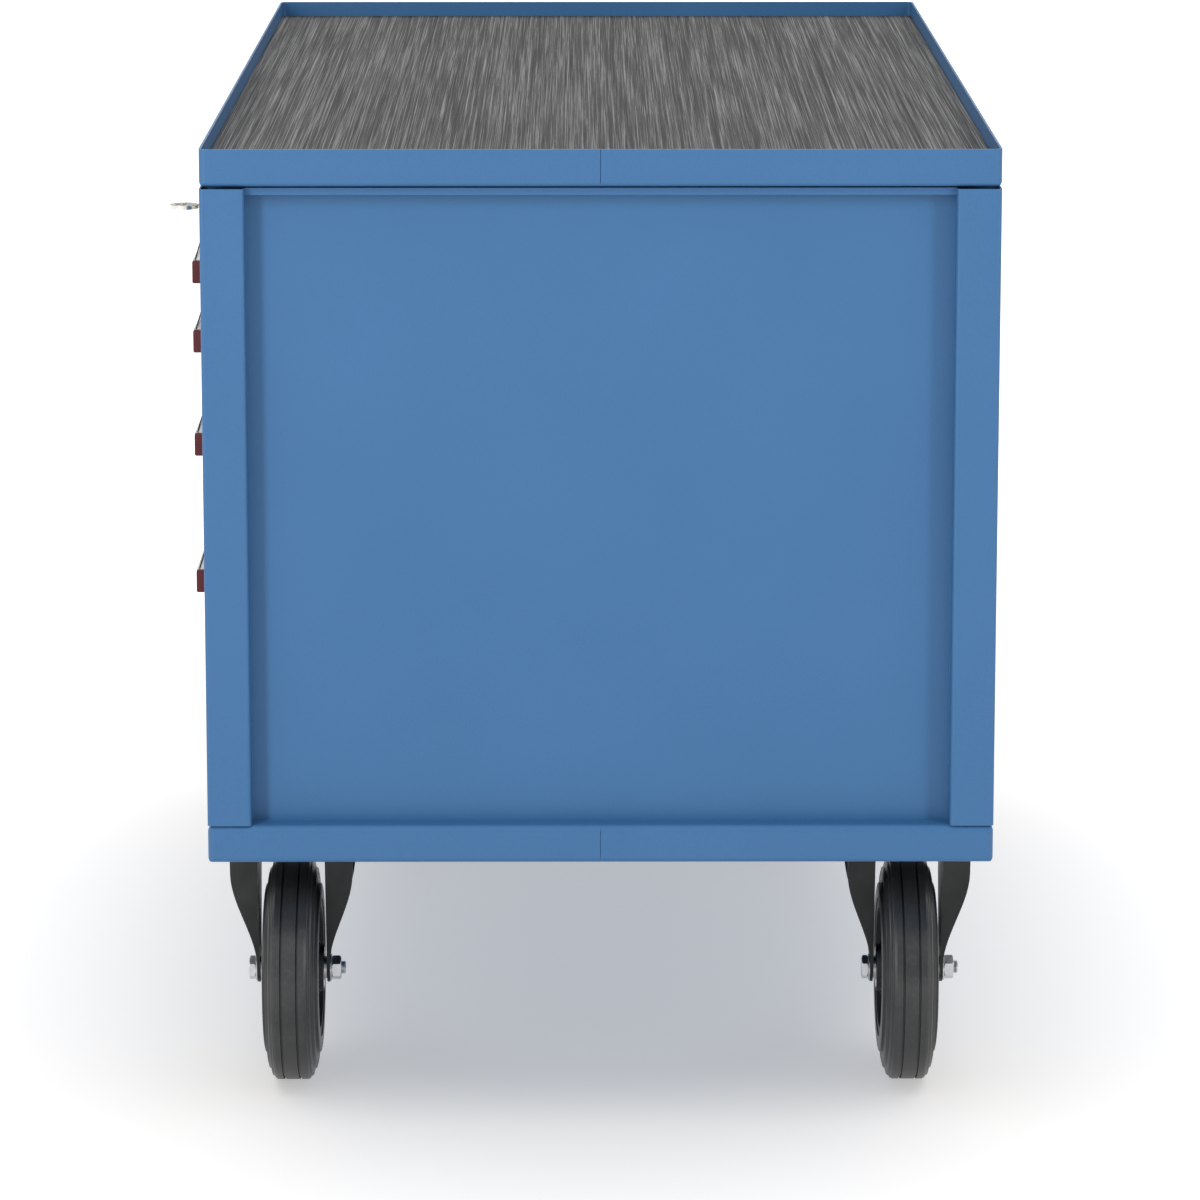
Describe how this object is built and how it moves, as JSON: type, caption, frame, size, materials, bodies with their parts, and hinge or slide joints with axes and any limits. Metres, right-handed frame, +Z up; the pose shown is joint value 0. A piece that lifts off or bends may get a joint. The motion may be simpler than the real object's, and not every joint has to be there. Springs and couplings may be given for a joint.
{
  "type": "mobile workbench with drawers",
  "caption": "Long steel workbench on castors with full-width drawers under a lipped, matted top tray; fixed and swivel braked wheels and a key that locks every drawer.",
  "frame": {"origin": "on the floor, under the middle of the whole object's box with the key in its lock", "axes": "+X along the bench towards the end with the lock and the fixed castors, -Y towards the drawer fronts, +Z up"},
  "size_m": [1.25, 0.709, 0.86],
  "materials": {
    "blue_steel": "satin",
    "mat_grey": "matt",
    "zinc": "satin",
    "handle_alu": "satin",
    "cap_red": "satin",
    "fork_black": "satin",
    "tyre_grey": "matt",
    "rim_black": "satin",
    "key_nickel": "bright"
  },
  "bodies": {
    "cabinet": {"base_tray": "blue_steel", "post_front_left": "blue_steel", "post_front_right": "blue_steel", "post_back_left": "blue_steel", "post_back_right": "blue_steel", "side_panel_left": "blue_steel", "side_panel_right": "blue_steel", "back_panel": "blue_steel", "front_rail": "blue_steel", "top_tray": "blue_steel", "worktop_mat": "mat_grey", "cabinet_slides": "zinc", "lock_housing": "key_nickel", "fixed_fork_front": "fork_black", "fixed_fork_back": "fork_black", "fixed_axles": "zinc", "castor_bolts": "zinc", "swivel_plate_front": "fork_black", "swivel_plate_back": "fork_black"},
    "drawer_1": {"drawer_box_1": "blue_steel", "drawer_front_1": "blue_steel", "handle_strip_1": "handle_alu", "handle_caps_1": "cap_red", "slide_inner_1": "zinc"},
    "slides_1": {"slide_middle_1": "zinc"},
    "drawer_2": {"drawer_box_2": "blue_steel", "drawer_front_2": "blue_steel", "handle_strip_2": "handle_alu", "handle_caps_2": "cap_red", "slide_inner_2": "zinc"},
    "slides_2": {"slide_middle_2": "zinc"},
    "drawer_3": {"drawer_box_3": "blue_steel", "drawer_front_3": "blue_steel", "handle_strip_3": "handle_alu", "handle_caps_3": "cap_red", "slide_inner_3": "zinc"},
    "slides_3": {"slide_middle_3": "zinc"},
    "drawer_4": {"drawer_box_4": "blue_steel", "drawer_front_4": "blue_steel", "handle_strip_4": "handle_alu", "handle_caps_4": "cap_red", "slide_inner_4": "zinc"},
    "slides_4": {"slide_middle_4": "zinc"},
    "lock_plug": {"lock_plug": "key_nickel"},
    "key": {"key": "key_nickel"},
    "lock_bar": {"lock_bar": "zinc"},
    "wheel_front_right": {"tyre_front_right": "tyre_grey", "rim_front_right": "rim_black"},
    "wheel_back_right": {"tyre_back_right": "tyre_grey", "rim_back_right": "rim_black"},
    "swivel_front": {"swivel_fork_front": "fork_black", "swivel_axle_front": "zinc"},
    "wheel_front_left": {"tyre_front_left": "tyre_grey", "rim_front_left": "rim_black"},
    "brake_front": {"brake_pedal_front": "cap_red"},
    "swivel_back": {"swivel_fork_back": "fork_black", "swivel_axle_back": "zinc"},
    "wheel_back_left": {"tyre_back_left": "tyre_grey", "rim_back_left": "rim_black"},
    "brake_back": {"brake_pedal_back": "cap_red"}
  },
  "joints": [
    {"name": "drawer_1_pull", "type": "slide", "parent": "cabinet", "child": "drawer_1", "axis": [0, -1, 0], "range_m": [0, 0.54]},
    {"name": "slides_1_run", "type": "slide", "parent": "cabinet", "child": "slides_1", "axis": [0, -1, 0], "range_m": [0, 0.27]},
    {"name": "drawer_2_pull", "type": "slide", "parent": "cabinet", "child": "drawer_2", "axis": [0, -1, 0], "range_m": [0, 0.54]},
    {"name": "slides_2_run", "type": "slide", "parent": "cabinet", "child": "slides_2", "axis": [0, -1, 0], "range_m": [0, 0.27]},
    {"name": "drawer_3_pull", "type": "slide", "parent": "cabinet", "child": "drawer_3", "axis": [0, -1, 0], "range_m": [0, 0.54]},
    {"name": "slides_3_run", "type": "slide", "parent": "cabinet", "child": "slides_3", "axis": [0, -1, 0], "range_m": [0, 0.27]},
    {"name": "drawer_4_pull", "type": "slide", "parent": "cabinet", "child": "drawer_4", "axis": [0, -1, 0], "range_m": [0, 0.54]},
    {"name": "slides_4_run", "type": "slide", "parent": "cabinet", "child": "slides_4", "axis": [0, -1, 0], "range_m": [0, 0.27]},
    {"name": "lock_turn", "type": "hinge", "parent": "cabinet", "child": "lock_plug", "pos_m": [0.565, -0.3255, 0.8035], "axis": [0, -1, 0], "range_deg": [0, 90]},
    {"name": "key_pull", "type": "slide", "parent": "lock_plug", "child": "key", "axis": [0, -1, 0], "range_m": [0, 0.03]},
    {"name": "lock_bar_lift", "type": "slide", "parent": "cabinet", "child": "lock_bar", "axis": [0, 0, 1], "range_m": [0, 0.007]},
    {"name": "wheel_front_right_spin", "type": "hinge", "parent": "cabinet", "child": "wheel_front_right", "pos_m": [0.47, -0.2605, 0.1], "axis": [0, 1, 0], "continuous": true},
    {"name": "wheel_back_right_spin", "type": "hinge", "parent": "cabinet", "child": "wheel_back_right", "pos_m": [0.47, 0.2895, 0.1], "axis": [0, 1, 0], "continuous": true},
    {"name": "swivel_front_turn", "type": "hinge", "parent": "cabinet", "child": "swivel_front", "pos_m": [-0.47, -0.2605, 0.22], "axis": [0, 0, 1], "continuous": true},
    {"name": "wheel_front_left_spin", "type": "hinge", "parent": "swivel_front", "child": "wheel_front_left", "pos_m": [-0.42, -0.2605, 0.1], "axis": [0, 1, 0], "continuous": true},
    {"name": "brake_front_press", "type": "hinge", "parent": "swivel_front", "child": "brake_front", "pos_m": [-0.524, -0.2605, 0.19], "axis": [0, -1, 0], "range_deg": [0, 10], "stiffness_Nm_per_rad": 2, "springref_deg": -17.19},
    {"name": "swivel_back_turn", "type": "hinge", "parent": "cabinet", "child": "swivel_back", "pos_m": [-0.47, 0.2895, 0.22], "axis": [0, 0, 1], "continuous": true},
    {"name": "wheel_back_left_spin", "type": "hinge", "parent": "swivel_back", "child": "wheel_back_left", "pos_m": [-0.42, 0.2895, 0.1], "axis": [0, 1, 0], "continuous": true},
    {"name": "brake_back_press", "type": "hinge", "parent": "swivel_back", "child": "brake_back", "pos_m": [-0.524, 0.2895, 0.19], "axis": [0, -1, 0], "range_deg": [0, 10], "stiffness_Nm_per_rad": 2, "springref_deg": -17.19}
  ],
  "couplings": [
    {"joint": "slides_1_run", "follows": "drawer_1_pull", "ratio": 0.5},
    {"joint": "slides_2_run", "follows": "drawer_2_pull", "ratio": 0.5},
    {"joint": "slides_3_run", "follows": "drawer_3_pull", "ratio": 0.5},
    {"joint": "slides_4_run", "follows": "drawer_4_pull", "ratio": 0.5},
    {"joint": "lock_turn", "follows": "lock_bar_lift", "rad_per_m": 224.39}
  ]
}
